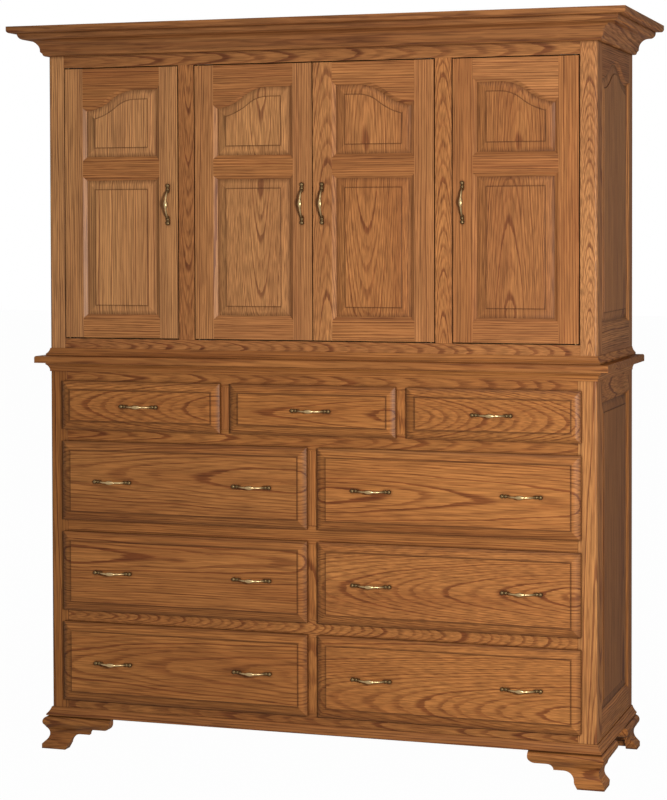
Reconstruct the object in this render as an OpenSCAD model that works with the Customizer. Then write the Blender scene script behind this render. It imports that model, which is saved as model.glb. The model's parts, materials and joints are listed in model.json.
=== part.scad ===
// Mule chest: a cupboard with four arched doors, standing on a chest of nine drawers.
// Each module works from the front face of the face frames, at y = 0, with the case in
// the middle of x and the floor at z = 0. The nodes are then set forward or back by
// front_y, so that the origin lies on the floor under the middle of the whole piece.

/* [Cases] */
// Width of both cases across the corner posts
case_w = 1524; // [1440:1:1620]
// Depth of both cases, from the face frame to the back
case_d = 495; // [460:1:540]
// Thickness of the face frames and of the panelled sides
frame_t = 20; // [19:0.5:22]
// Radius of the rounded front corner of each case
corner_r = 6; // [3:0.5:9]
// Height of the bracket feet
foot_h = 90; // [80:1:105]
// Thickness of the plank between the two cases
plank_t = 19; // [16:0.5:24]
// Overhang of the plank at the front and sides
plank_out = 34; // [26:1:40]
// Radius of the eased top edge of the plank
plank_r = 5; // [2:0.5:8]

/* [Drawers] */
// Height of a small drawer front in the top row
small_front_h = 133; // [120:1:150]
// Height of a large drawer front
big_front_h = 217; // [205:1:230]
// Thickness of a drawer front
front_t = 19; // [17:0.5:22]
// Lap of a drawer front over the frame on each side
front_lap = 9.5; // [7:0.5:12]
// Face frame left showing between two drawer fronts, across
front_gap_x = 30; // [26:1:36]
// Face frame left showing between two drawer fronts, upwards
front_gap_z = 32; // [28:1:38]
// Corner post left showing beside the drawer fronts
post_show = 40.5; // [36:0.5:48]
// Height of frame and base moulding below the bottom drawer fronts
bottom_show = 47; // [44:1:56]
// Height of frame above the top drawer fronts
top_show = 49; // [44:1:58]
// Length of a drawer box
box_len = 420; // [380:1:430]
// Thickness of the sides, front and back of a drawer box
box_t = 12; // [10:0.5:14]
// Thickness of a drawer bottom
box_bottom_t = 6; // [5:0.5:8]
// Headroom above a drawer box in its opening
box_head = 12; // [8:1:20]
// Play beside a drawer box in its opening
box_play = 1.5; // [1:0.1:2.5]

/* [Doors] */
// Height of a door
door_h = 733.5; // [700:0.5:780]
// Width of a face frame stile of the cupboard
stile_w = 44.5; // [40:0.5:52]
// Gap around each door
door_gap = 3; // [2.5:0.1:4]
// Height of the cupboard's bottom rail
cup_bottom_rail = 48.5; // [44:0.5:60]
// Height of the cupboard's top rail, most of it behind the crown
cup_top_rail = 111; // [104:0.5:125]
// Flat width of a door stile, without its sloping edge
door_stile_w = 53; // [48:0.5:60]
// Flat height of a door's bottom rail
door_bottom_rail = 53.5; // [48:0.5:65]
// Flat height of a door's middle rail
door_mid_rail = 44; // [38:0.5:55]
// Height from the door's bottom to the middle of its middle rail
door_mid_z = 460.5; // [430:0.5:480]
// Flat height of a door's top rail where the arch is highest
door_top_rail = 50.5; // [46:0.5:60]
// Rise of the half arch of a door
arch_rise = 56.25; // [44:0.25:62]
// Length of the curved stretch of the half arch of a door
arch_run = 157.5; // [140:0.5:165]
// Width of the sloping inner edge of stiles and rails
slope_w = 10; // [7:0.5:12]
// Depth of that slope below the face
slope_d = 7; // [5:0.5:8]
// Width of the bevelled margin of a raised panel
bevel_w = 26; // [20:0.5:30]
// Small step at the edge of a raised field
field_step = 1.5; // [1:0.1:2]
// How far a raised field lies below the face of its frame
field_sink = 1.5; // [1:0.1:2.5]
// Width of the groove that holds a panel
groove_t = 6; // [5:0.5:7]

/* [Hinges] */
// Distance of the pivot from the hinge side of the door
pivot_in = 9.5; // [9:0.1:11]
// Distance of the pivot from the face of the door
pivot_back = 5; // [4.5:0.1:6]
// Radius of the pivot pin
pin_r = 2.5; // [2:0.1:3]
// Radial play of the pin in its plate
pin_play = 0.06; // [0.03:0.01:0.1]
// Thickness of a hinge plate
leaf_t = 2.5; // [2:0.1:3.5]
// Length of a hinge plate
leaf_len = 46; // [38:1:48]
// Width of a hinge plate
leaf_w = 11; // [10:0.5:13]

/* [Pulls] */
// Distance between the two mounting posts of a pull
pull_span = 76; // [64:1:96]
// Distance of the bow's outer edge from the wood
pull_reach = 28; // [24:0.5:32]
// Radius of the thin ends of the bow
bow_r = 2.7; // [2.2:0.1:3.4]
// Radius of the thick middle of the bow
bow_mid_r = 5.8; // [4.8:0.1:6.5]
// Radius of the large end bead
bead_r = 5.4; // [4.8:0.1:6]
// Distance between the two pulls of a wide drawer, as a share of its width
pull_share = 0.571; // [0.45:0.001:0.65]

/* [Side panels] */
// Flat width of the front stile of a panelled side
side_stile_w = 43; // [38:1:50]
// Flat width of its back stile
side_back_stile_w = 50; // [44:1:58]
// Height of the upper side's bottom rail
side_bottom_rail = 93; // [80:1:110]
// Height of the upper side's top rail at the shoulders of the arch
side_top_rail = 157; // [150:1:180]
// Rise of the upper side's arch
side_arch_rise = 46; // [36:1:52]
// Length of half that arch, between its shoulder and the middle
side_arch_run = 161; // [145:1:170]
// Height of the lower side's bottom rail
chest_bottom_rail = 82; // [70:1:100]
// Height of the lower side's top rail
chest_top_rail = 76; // [65:1:95]

/* [Mouldings] */
// Height of the crown
crown_h = 78; // [74:1:84]
// Height of the moulding at the foot of the cupboard
waist_h = 21; // [16:1:26]
// Projection of that moulding
waist_out = 10; // [8:1:14]
// Height of the cove moulding under the plank
cove_h = 24; // [18:1:30]
// Projection of the cove moulding
cove_out = 11; // [9:1:16]
// Height of the base moulding
base_h = 23; // [18:1:30]
// Projection of the base moulding
base_out = 14; // [11:1:17]
// Length of a bracket foot along the case
foot_len = 178; // [165:1:200]
// Thickness of a bracket foot behind the face of the case
foot_back = 8; // [5:1:12]

/* [Inside] */
// Thickness of the runners and web frames
web_t = 19; // [16:0.5:22]
// Thickness of the backs
back_t = 6; // [5:0.5:9]
// Thickness of the cupboard's boards and shelves
board_t = 19; // [16:0.5:22]
// Height of the shelves above the cupboard's floor
shelf_z = 372; // [250:1:500]
// Spacing of the shelf holes
shelf_pitch = 32; // [25:1:50]
// Radius of a shelf pin
shelf_pin_r = 3; // [2.5:0.1:4]

/* [Colours] */
// Oak of the face frames and doors
oak = "#a9703f"; // ["#a9703f", "#8a5a30"]
// Oak of raised panels and drawer fronts
oak_light = "#b57a45"; // ["#b57a45", "#96633a"]
// Oak of mouldings and feet
oak_dark = "#96602f"; // ["#96602f", "#7c4c24"]
// Plain inner timber
inner_wood = "#c9a877"; // ["#c9a877", "#b08d5c"]
// Antique brass of the pulls
brass = "#6e5a33"; // ["#6e5a33", "#8a7440"]
// Steel of hinges and pins
steel = "#8d8f92"; // ["#8d8f92", "#6d7073"]

/* [Hidden] */
$fn = 96;

// Glue line between two pieces of wood that are joined
glue = 0.1;
// Running gap between pieces that slide or swing past each other
run_gap = 0.3;
// A cut reaches this far past the face that it opens
cut = 1;

half_w = case_w / 2;
crown_out = 87 * crown_h / 78;
front_y = (crown_out - case_d) / 2;

// Rows of drawers, counted from the top; the first has three drawers, the others two
rows = 4;
function row_h(row) = row == 0 ? small_front_h : big_front_h;
function row_z(row) = foot_h + bottom_show + (rows - 1 - row) * (big_front_h + front_gap_z);
function row_count(row) = row == 0 ? 3 : 2;
function front_w(row) =
  (case_w - 2 * post_show - (row_count(row) - 1) * front_gap_x) / row_count(row);
function front_x(row, place) = -half_w + post_show + place * (front_w(row) + front_gap_x);
lower_top = row_z(0) + small_front_h + top_show;

// Cupboard
upper_z = lower_top + plank_t;
opening_z = upper_z + cup_bottom_rail;
opening_h = door_h + 2 * door_gap;
total_h = opening_z + opening_h + cup_top_rail;
crown_z = total_h - crown_h;
door_w = (case_w - 4 * stile_w - 7 * door_gap) / 4;
door_x = [
  -half_w + stile_w + door_gap,
  -half_w + 2 * stile_w + 3 * door_gap + door_w,
  -half_w + 2 * stile_w + 4 * door_gap + 2 * door_w,
  -half_w + 3 * stile_w + 6 * door_gap + 3 * door_w
];
door_z = opening_z + door_gap;
side_opening_w = 2 * door_gap + door_w;

// The groove lies right behind the slope, and the tongue of a panel ends short of it
groove_deep = slope_w - 1;
tongue_end = 2;
// Longer than any edge of a panel or frame
far = 1600;

// Places shared by the boards inside
inner_x = half_w - frame_t;
back_y = case_d - back_t;
side_front_y = frame_t + glue;
deck_z = foot_h + 4;
partition_x = half_w - stile_w - side_opening_w - stile_w / 2;

// Plain solids

module block(low, high) {
  translate(low) cube(high - low);
}

// Extrudes a shape drawn in x and z along y, from y = near to y = back
module along_y(near, back) {
  translate([0, back, 0]) rotate([90, 0, 0]) linear_extrude(back - near) children();
}

// Extrudes a shape drawn in y and z along x, from x = low to x = high
module along_x(low, high) {
  translate([low, 0, 0]) rotate([90, 0, 90]) linear_extrude(high - low) children();
}

module set_back() {
  translate([0, front_y, 0]) children();
}

module both_sides() {
  children();
  mirror([1, 0, 0]) children();
}

// Mouldings: a profile drawn with its overhang along x and its height along y is run
// round the front and both sides of a case and mitred at the corners

module mitred_run(out) {
  reach = half_w + out;
  intersection() {
    translate([reach, 0, 0]) rotate([0, 0, -90]) rotate([90, 0, 0])
      linear_extrude(2 * reach) children();
    linear_extrude(far)
      polygon([
        [-half_w + foot_back + glue, foot_back], [half_w - foot_back - glue, foot_back],
        [reach - glue, -out], [-reach + glue, -out]
      ]);
  }
  both_sides() side_run(out) children();
}

module side_run(out) {
  intersection() {
    translate([half_w, case_d, 0]) rotate([90, 0, 0]) linear_extrude(case_d + out) children();
    linear_extrude(far)
      polygon([
        [half_w - foot_back, foot_back], [half_w + out, -out],
        [half_w + out, case_d], [half_w - foot_back, case_d]
      ]);
  }
}

// Crown: bead, cove and two rounded steps, with the waste behind it sawn off
module crown_profile() {
  unit = crown_h / 78;
  scale(unit) difference() {
    union() {
      polygon([
        [0, 0], [6, 0], [13, 7], [18, 12], [18, 15], [46, 43], [49.5, 43], [64.5, 58],
        [64.5, 60], [79, 60], [87, 68], [87, 78], [58, 78], [0, 26]
      ]);
      intersection() {
        translate([6, 7]) circle(7);
        translate([6, 0]) square(7);
      }
      intersection() {
        translate([49.5, 58]) circle(15);
        translate([49.5, 43]) square(15);
      }
      intersection() {
        translate([79, 68]) circle(8);
        translate([79, 60]) square(8);
      }
    }
    translate([46, 15]) circle(28);
  }
}

module crown_moulding() {
  color(oak_dark) set_back() translate([0, 0, crown_z])
    mitred_run(crown_out) crown_profile();
}

// Hollows the straight slope from p to q, with its open side on the right
module hollow(p, q, sag) {
  chord = norm(q - p);
  arc_r = chord * chord / (8 * sag) + sag / 2;
  outward = [q[1] - p[1], p[0] - q[0]] / chord;
  translate((p + q) / 2 + outward * (arc_r - sag)) circle(arc_r - 0.05, $fn = 180);
}

// Waist: a cove that leads from the cupboard down to the plank
module waist_profile() {
  lip = [waist_out, waist_h / 4];
  top = [1, waist_h];
  difference() {
    polygon([[0, 0], [waist_out, 0], lip, top, [0, waist_h]]);
    hollow(lip, top, 2);
  }
}

module waist_moulding() {
  color(oak_dark) set_back() translate([0, 0, upper_z])
    mitred_run(waist_out) waist_profile();
}

module cove_profile() {
  foot = [1.5, 0];
  lip = [cove_out, cove_h * 0.8];
  difference() {
    polygon([[0, 0], foot, lip, [cove_out, cove_h], [0, cove_h]]);
    hollow(foot, lip, 3);
  }
}

module cove_moulding() {
  color(oak_dark) set_back() translate([0, 0, lower_top - cove_h])
    mitred_run(cove_out) cove_profile();
}

module base_profile() {
  lip = [base_out, base_h / 6];
  top = [2, base_h];
  difference() {
    polygon([[0, 0], [base_out - 1, 0], [base_out, 1], lip, top, [0, base_h]]);
    hollow(lip, top, 1.5);
  }
}

module base_moulding() {
  color(oak_dark) set_back() translate([0, 0, foot_h])
    mitred_run(base_out) base_profile();
}

// Plank with its top edge eased at the front and sides
module plank() {
  wide = half_w + plank_out;
  color(oak_light) set_back() translate([0, 0, lower_top]) intersection() {
    along_y(-plank_out, case_d) eased_strip(-wide, wide, true);
    along_x(-wide, wide) eased_strip(-plank_out, case_d, false);
  }
}

module eased_strip(low, high, both) {
  translate([low + plank_r, 0]) square([high - low - plank_r - (both ? plank_r : 0), plank_t]);
  translate([low, 0]) square([high - low, plank_t - plank_r]);
  translate([low + plank_r, plank_t - plank_r]) circle(plank_r);
  if (both) translate([high - plank_r, plank_t - plank_r]) circle(plank_r);
}

// Bracket feet: an ogee run round the corner, cut to a scroll below

foot_out = 23;
module foot_profile() {
  high = foot_h;
  bulge = high - 16;
  waist_z = high * 0.44;
  difference() {
    union() {
      polygon([
        [-foot_back, 0], [foot_out, 0], [foot_out, 12.5], [13, waist_z - 17],
        [13, waist_z + 17], [18, bulge - 9.5], [8.5, high], [-foot_back, high]
      ]);
      translate([8.5, bulge]) intersection() {
        circle(13.5);
        translate([-2, -12]) square([20, 28]);
      }
    }
    translate([30, waist_z]) circle(24);
  }
}

// Outline of one bracket, from the corner post inwards, with its scroll
module scroll_outline(outer) {
  end_r = 18;
  shelf = foot_h * 0.645;
  difference() {
    translate([-outer, 0]) square([foot_len + outer, foot_h]);
    polygon([
      [foot_len * 0.26, -cut], [foot_len * 0.315, 16], [foot_len * 0.48, 42],
      [foot_len * 0.62, 42], [foot_len * 0.655, 40.5], [foot_len + cut, 40.5],
      [foot_len + cut, -cut]
    ]);
    translate([foot_len * 0.315 + 30, 12]) circle(30);
    translate([foot_len * 0.72, shelf - 16]) circle(16);
    translate([foot_len * 0.72, 36]) square([foot_len, shelf - 36]);
    difference() {
      translate([foot_len - end_r, shelf - cut]) square([end_r + cut, end_r + cut]);
      translate([foot_len - end_r, shelf + end_r]) circle(end_r);
    }
  }
}

module bracket_feet() {
  block_side = 28;
  block_low = foot_h * 0.35;
  rear_t = 18;
  color(oak_dark) set_back() both_sides() {
    // Front bracket
    intersection() {
      mitred_run_front();
      along_y(-foot_out - cut, foot_back + cut)
        translate([half_w, 0]) mirror([1, 0]) scroll_outline(foot_out + cut);
    }
    // Side bracket at the front
    intersection() {
      side_run(foot_out) foot_profile();
      along_x(half_w - foot_back - cut, half_w + foot_out + cut)
        scroll_outline(foot_out + cut);
    }
    // Side bracket at the back
    intersection() {
      side_run(foot_out) foot_profile();
      along_x(half_w - foot_back - cut, half_w + foot_out + cut)
        translate([case_d, 0]) mirror([1, 0]) scroll_outline(cut);
    }
    // Plain board across the back of the rear foot
    along_y(case_d - rear_t, case_d)
      polygon([
        [half_w - foot_back - glue, 0], [half_w - foot_back - glue, foot_h],
        [half_w - foot_len, foot_h], [half_w - foot_len, foot_h - 22],
        [half_w - foot_len * 0.3, 0]
      ]);
    // Glue blocks in the corners carry the case
    for (y = [foot_back + glue, case_d - rear_t - glue - block_side])
      block(
        [half_w - foot_back - glue - block_side, y, block_low],
        [half_w - foot_back - glue, y + block_side, foot_h]
      );
  }
}

// The right half of the front run of the foot moulding
module mitred_run_front() {
  reach = half_w + foot_out;
  intersection() {
    translate([reach, 0, 0]) rotate([0, 0, -90]) rotate([90, 0, 0])
      linear_extrude(reach) foot_profile();
    linear_extrude(far)
      polygon([
        [0, foot_back], [half_w - foot_back - glue, foot_back],
        [reach - glue, -foot_out], [0, -foot_out]
      ]);
  }
}

// Frame-and-panel work. An edge section is drawn with the distance inwards from the
// flat edge along x and the depth behind the face along y.

// The space between stiles and rails: slope, groove and the opening behind. A rail
// that fits into it takes the same section, less a glue line.
module opening_section(less = 0) {
  polygon([
    [less - cut * slope_w / slope_d, -cut], [less + slope_w, slope_d],
    [less + slope_w, frame_t + cut], [far, frame_t + cut], [far, -cut]
  ]);
  translate([less + slope_w - groove_deep, slope_d + less])
    square([groove_deep + cut, groove_t - 2 * less]);
}

// A raised panel: tongue, rounded bevel and field
module panel_section() {
  drop = slope_d - field_sink - field_step;
  arc_r = (bevel_w * bevel_w + drop * drop) / (2 * drop);
  field_x = slope_w + bevel_w;
  back = slope_d + groove_t - glue;
  translate([tongue_end, slope_d + glue]) square([far, groove_t - 2 * glue]);
  translate([field_x, field_sink]) square([far, back - field_sink]);
  intersection() {
    translate([field_x, field_sink + field_step + glue + arc_r]) circle(arc_r, $fn = 720);
    translate([slope_w, 0]) square([bevel_w + cut, back]);
  }
}

// The edge of a drawer front, raised in the same way
module front_section() {
  arc_r = (bevel_w * bevel_w + slope_d * slope_d) / (2 * slope_d);
  translate([0, field_step + slope_d]) square([far, front_t - field_step - slope_d]);
  translate([bevel_w, 0]) square([far, front_t]);
  intersection() {
    translate([bevel_w, field_step + arc_r]) circle(arc_r, $fn = 720);
    square([bevel_w + cut, front_t]);
  }
}

// Four straight edges round a rectangle in x and z
module left_edge(x, z, h) {
  translate([x, 0, z]) linear_extrude(h) children();
}

module right_edge(x, z, h) {
  translate([x, 0, z]) mirror([1, 0, 0]) linear_extrude(h) children();
}

module bottom_edge(z, x, w) {
  translate([x + w, 0, z]) rotate([0, -90, 0]) linear_extrude(w) children();
}

module top_edge(z, x, w) {
  translate([x, 0, z]) rotate([0, 90, 0]) linear_extrude(w) children();
}

// The same section run below half an arch: flat shoulder, hollow, round and flat top.
// The hollow starts at x = start and z = low, and the flat top runs from there to stop.
module arch_edge(start, low, run, rise, stop) {
  arc = (run * run + rise * rise) / (4 * rise);
  crest = [start + run, low + rise - arc];
  hollow = [start, low + arc];
  // Flat shoulder
  top_edge(low, start - far, far) children();
  // Hollow
  intersection() {
    translate([hollow[0], 0, hollow[1]]) rotate([-90, 0, 0])
      rotate_extrude($fn = 180) translate([arc, 0]) children();
    along_y(-cut, frame_t + cut)
      polygon([
        hollow, [start, low - far], [crest[0], low - far], crest
      ]);
  }
  // Round
  intersection() {
    translate([crest[0], 0, crest[1]]) rotate([-90, 0, 0])
      rotate_extrude($fn = 180) intersection() {
        translate([arc, 0]) mirror([1, 0]) children();
        translate([0, -far]) square([far, 2 * far]);
      }
    along_y(-cut, frame_t + cut)
      polygon([crest, hollow, [crest[0], hollow[1]]]);
  }
  // Flat top
  if (stop > crest[0]) top_edge(low + rise, crest[0], stop - crest[0]) children();
}

// A rail between two stiles whose flat edges lie at x = left and x = right
module rail(left, right, low, high) {
  intersection() {
    block([left - cut, 0, low], [right + cut, frame_t, high]);
    left_edge(left, low - cut, high - low + 2 * cut) opening_section(glue);
    right_edge(right, low - cut, high - low + 2 * cut) opening_section(glue);
  }
}

// Panel between flat edges at x = left and right and at z = low and high
module raised_panel(left, right, low, high) {
  intersection() {
    left_edge(left, low, high - low) panel_section();
    right_edge(right, low, high - low) panel_section();
    bottom_edge(low, left, right - left) panel_section();
    top_edge(high, left, right - left) panel_section();
  }
}

// Doors, drawn with the hinges on the left and the low end of the half arch there too

door_high_z = door_h - door_top_rail;
door_low_z = door_high_z - arch_rise;
arch_start = door_stile_w - 3;
lower_rail_z = door_mid_z - door_mid_rail / 2;
upper_rail_z = door_mid_z + door_mid_rail / 2;

module place_door(index) {
  set_back()
    if (index < 2)
      translate([door_x[index], 0, door_z]) children();
    else
      translate([door_x[index] + door_w, 0, door_z]) mirror([1, 0, 0]) children();
}

module door_arch() {
  arch_edge(arch_start, door_low_z, arch_run, arch_rise, door_w) children();
}

module door_frame(index) {
  right = door_w - door_stile_w;
  color(oak) place_door(index) {
    // Hinge stile with the two pockets of its hinge plates
    difference() {
      block([0, 0, 0], [door_stile_w + slope_w, frame_t, door_h]);
      left_edge(door_stile_w, -cut, door_h + 2 * cut) opening_section();
      translate([0, 0, -cut]) leaf_outline(leaf_t + cut);
      translate([0, 0, door_h - leaf_t]) leaf_outline(leaf_t + cut);
    }
    // Stile of the pull
    difference() {
      block([right - slope_w, 0, 0], [door_w, frame_t, door_h]);
      right_edge(right, -cut, door_h + 2 * cut) opening_section();
      place_door_pull() pull_bores(frame_t);
    }
    // Bottom rail
    difference() {
      rail(door_stile_w, right, 0, door_bottom_rail + slope_w + cut);
      bottom_edge(door_bottom_rail, 0, door_w) opening_section();
    }
    // Middle rail
    difference() {
      rail(door_stile_w, right, lower_rail_z - slope_w - cut, upper_rail_z + slope_w + cut);
      top_edge(lower_rail_z, 0, door_w) opening_section();
      bottom_edge(upper_rail_z, 0, door_w) opening_section();
    }
    // Top rail with its half arch
    difference() {
      rail(door_stile_w, right, door_low_z - slope_w - cut, door_h);
      door_arch() opening_section();
    }
  }
}

module door_panels(index) {
  right = door_w - door_stile_w;
  color(oak_light) place_door(index) {
    raised_panel(door_stile_w, right, door_bottom_rail, lower_rail_z);
    intersection() {
      left_edge(door_stile_w, upper_rail_z, door_h - upper_rail_z) panel_section();
      right_edge(right, upper_rail_z, door_h - upper_rail_z) panel_section();
      bottom_edge(upper_rail_z, 0, door_w) panel_section();
      door_arch() panel_section();
    }
  }
}

module door_hardware(index) {
  color(brass) place_door(index) {
    place_door_pull() pull(frame_t);
    door_leaf();
    translate([0, 0, door_h]) mirror([0, 0, 1]) door_leaf();
  }
}

// Hinges: a plate let into each end of the door and one into the rail opposite. The pin
// stands on the door's plate and turns in the rail's.

leaf_from = [4, 1.5];
collar_r = pivot_back - leaf_from[1] - 0.1;

module leaf_outline(thick) {
  translate(leaf_from) cube([leaf_len, leaf_w, thick]);
}

module door_leaf() {
  leaf_outline(leaf_t);
  translate([pivot_in, pivot_back, glue - door_gap])
    cylinder(r = collar_r, h = door_gap + leaf_t - glue);
  translate([pivot_in, pivot_back, 0.3 - door_gap - leaf_t])
    cylinder(r = pin_r, h = door_gap + 2 * leaf_t - 0.3);
}

module case_leaf() {
  translate([0, 0, -door_gap - leaf_t]) difference() {
    leaf_outline(leaf_t);
    translate([pivot_in, pivot_back, -cut]) cylinder(r = pin_r + pin_play, h = leaf_t + 2 * cut);
  }
}

module each_case_leaf() {
  for (index = [0:3]) place_door(index) {
    children();
    translate([0, 0, door_h]) mirror([0, 0, 1]) children();
  }
}

module hinge_plates() {
  color(brass) each_case_leaf() case_leaf();
}

// Pulls: a bow that swells in the middle, with three beads at each end

bead_y = 1.2 - bead_r;
bead_x = pull_span / 2 + 12.6;
second_bead_x = bead_x - 10.2;
second_bead_r = bead_r * 0.86;
bead_neck_r = bead_r * 0.55;
bow_foot = 7;
screw_r = 2;
screw_head_r = 4.5;

module pull(wood) {
  mid = pull_reach - bow_mid_r;
  half = pull_span / 2 - 2;
  sag = mid - bow_foot;
  arc_r = (half * half + sag * sag) / (2 * sag);
  swell = 16;
  lens_r = (swell * swell + bow_mid_r * bow_mid_r) / (2 * bow_mid_r);
  both_sides() {
    intersection() {
      translate([0, bead_y, 0]) rotate([0, 90, 0]) rotate_extrude($fn = 48) turned_profile(half - 1.5);
      translate([0, -far / 2, -bead_r - cut]) cube([far / 2, far / 2, 2 * (bead_r + cut)]);
    }
    translate([half, bead_y, 0]) rotate([-90, 0, 0]) cylinder(r = screw_r, h = wood - bead_y + 1);
    translate([half, wood, 0]) rotate([-90, 0, 0]) cylinder(r = screw_head_r, h = 2.5);
  }
  // Bow
  intersection() {
    translate([0, arc_r - mid, 0]) rotate_extrude($fn = 180)
      translate([arc_r, 0]) circle(bow_r, $fn = 32);
    translate([-half - 4, -pull_reach - cut, -bead_r - cut])
      cube([2 * half + 8, pull_reach + cut - bow_foot, 2 * (bead_r + cut)]);
  }
  // Thick middle of the bow
  translate([0, 0.8 - mid, 0]) rotate([0, 90, 0]) rotate_extrude($fn = 48)
    intersection() {
      translate([bow_mid_r - lens_r, 0]) circle(lens_r, $fn = 180);
      translate([0, -swell]) square([bow_mid_r, 2 * swell]);
    }
}

module turned_profile(third_x) {
  intersection() {
    union() {
      translate([0, bead_x]) circle(bead_r, $fn = 48);
      translate([0, second_bead_x]) circle(second_bead_r, $fn = 48);
      translate([0, third_x]) circle(bead_r * 0.74, $fn = 48);
      translate([0, third_x]) square([bead_neck_r, bead_x - third_x]);
    }
    square([bead_r + cut, bead_x + bead_r + cut]);
  }
}

module pull_bores(wood) {
  both_sides()
    translate([pull_span / 2 - 2, -cut, 0]) rotate([-90, 0, 0])
      cylinder(r = screw_r + 0.2, h = wood + 2 * cut);
}

module place_door_pull() {
  translate([door_w - door_stile_w / 2, 0, door_h * 0.4935]) rotate([0, 90, 0]) children();
}

// Drawers

function open_x(row, place) = front_x(row, place) + front_lap;
function open_w(row) = front_w(row) - 2 * front_lap;
function open_z(row) = row_z(row) + front_lap;
function open_top(row) = row_z(row) + row_h(row) - front_lap;
function box_h(row) = row_h(row) - 2 * front_lap - box_head;

module place_drawer(row, place) {
  translate([open_x(row, place), front_y - run_gap, open_z(row)]) children();
}

// Middle of each pull of a drawer, across the opening
function pull_places(row) = row == 0
  ? [open_w(row) / 2]
  : [for (side = [-1, 1]) open_w(row) / 2 + side * front_w(row) * pull_share / 2];

module each_pull(row) {
  for (x = pull_places(row))
    translate([x, -front_t, row_h(row) / 2 - front_lap]) children();
}

module drawer_front(row, place) {
  w = front_w(row);
  h = row_h(row);
  color(oak_light) place_drawer(row, place) difference() {
    translate([-front_lap, -front_t, -front_lap]) intersection() {
      left_edge(0, 0, h) front_section();
      right_edge(w, 0, h) front_section();
      bottom_edge(0, 0, w) front_section();
      top_edge(h, 0, w) front_section();
    }
    each_pull(row) pull_bores(front_t);
  }
}

module drawer_pulls(row, place) {
  color(brass) place_drawer(row, place) each_pull(row) pull(front_t + box_t);
}

// Box with through dovetails at all four corners and its bottom in grooves
module drawer_box(row, place) {
  h = box_h(row);
  w = open_w(row) - 2 * box_play;
  tails = row == 0 ? 3 : 5;
  groove = 5;
  color(inner_wood) place_drawer(row, place) translate([box_play, 0, run_gap]) {
    // Sides
    for (x = [0, w - box_t])
      difference() {
        block([x, 0, 0], [x + box_t, box_len, h]);
        along_x(x - cut, x + box_t + cut) {
          pins(h, tails, 0);
          translate([box_len, 0]) mirror([1, 0]) pins(h, tails, 0);
        }
        bottom_space(w, groove);
      }
    // Front and back
    for (turn = [0, 1])
      translate([0, turn * box_len, 0]) mirror([0, turn, 0]) difference() {
        union() {
          block([box_t + glue, 0, 0], [w - box_t - glue, box_t, h]);
          along_x(0, w) intersection() {
            pins(h, tails, glue);
            square([box_t, h]);
          }
        }
        if (turn == 0)
          translate([-box_play, 0, -run_gap]) each_pull(row) pull_bores(front_t + box_t);
        bottom_space(w, groove);
      }
    // Bottom
    block(
      [box_t - groove + glue, box_t - groove + glue, 10 + glue],
      [w - box_t + groove - glue, box_len - box_t + groove - glue, 10 + box_bottom_t - glue]
    );
  }
}

module bottom_space(w, groove) {
  block(
    [box_t - groove, box_t - groove, 10],
    [w - box_t + groove, box_len - box_t + groove, 10 + box_bottom_t]
  );
}

// Pins between the tails at the end of a side, seen from the side
module pins(h, tails, less) {
  pitch = h / tails;
  thin = pitch * 0.14;
  for (i = [0:tails])
    translate([0, i * pitch]) polygon([
      [-cut, less - thin], [-cut, thin - less], [box_t - less, thin + box_t / 6 - less],
      [box_t - less, less - thin - box_t / 6]
    ]);
}

// Case of the chest

// Corner post with its rounded outer corner, on the right
module corner_post(w, low, high) {
  translate([half_w, 0, low]) linear_extrude(high - low) {
    translate([-w, 0]) square([w - corner_r, frame_t]);
    translate([-corner_r, corner_r]) square([corner_r, frame_t - corner_r]);
    translate([-corner_r, corner_r]) circle(corner_r);
  }
}

module lower_face_frame() {
  post_w = post_show + front_lap;
  inside = half_w - post_w - glue;
  color(oak) set_back() {
    both_sides() corner_post(post_w, foot_h, lower_top);
    block([-inside, 0, foot_h], [inside, frame_t, open_z(rows - 1)]);
    for (row = [1:rows - 1])
      block([-inside, 0, open_top(row)], [inside, frame_t, open_z(row - 1)]);
    block([-inside, 0, open_top(0)], [inside, frame_t, lower_top]);
    for (row = [0:rows - 1], place = [1:row_count(row) - 1])
      block(
        [open_x(row, place) - front_gap_x - 2 * front_lap, 0, open_z(row) + glue],
        [open_x(row, place), frame_t, open_top(row) - glue]
      );
  }
}

// Panelled sides: drawn flat with the front edge at x = 0 and turned onto the case

side_w = case_d - side_front_y;
side_left = side_stile_w;
side_right = side_w - side_back_stile_w;

module place_side(z) {
  set_back() both_sides()
    translate([half_w, side_front_y, z]) rotate([0, 0, 90]) children();
}

module side_stiles(h) {
  difference() {
    block([0, 0, 0], [side_left + slope_w, frame_t, h]);
    left_edge(side_left, -cut, h + 2 * cut) opening_section();
  }
  difference() {
    block([side_right - slope_w, 0, 0], [side_w, frame_t, h]);
    right_edge(side_right, -cut, h + 2 * cut) opening_section();
  }
}

module side_rail_below(flat) {
  difference() {
    rail(side_left, side_right, 0, flat + slope_w + cut);
    bottom_edge(flat, 0, side_w) opening_section();
  }
}

module lower_side_frames() {
  h = lower_top - foot_h;
  color(oak) place_side(foot_h) {
    side_stiles(h);
    side_rail_below(chest_bottom_rail);
    difference() {
      rail(side_left, side_right, h - chest_top_rail - slope_w - cut, h);
      top_edge(h - chest_top_rail, 0, side_w) opening_section();
    }
  }
}

module lower_side_panels() {
  color(oak_light) place_side(foot_h)
    raised_panel(side_left, side_right, chest_bottom_rail, lower_top - foot_h - chest_top_rail);
}

// The whole arch of the cupboard's side: two half arches that meet in the middle
side_high = total_h - upper_z;
module side_arch() {
  middle = (side_left + side_right) / 2;
  start = middle - side_arch_run;
  low = side_high - side_top_rail;
  arch_edge(start, low, side_arch_run, side_arch_rise, middle) children();
  translate([2 * middle, 0, 0]) mirror([1, 0, 0])
    arch_edge(start, low, side_arch_run, side_arch_rise, middle) children();
}

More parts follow.
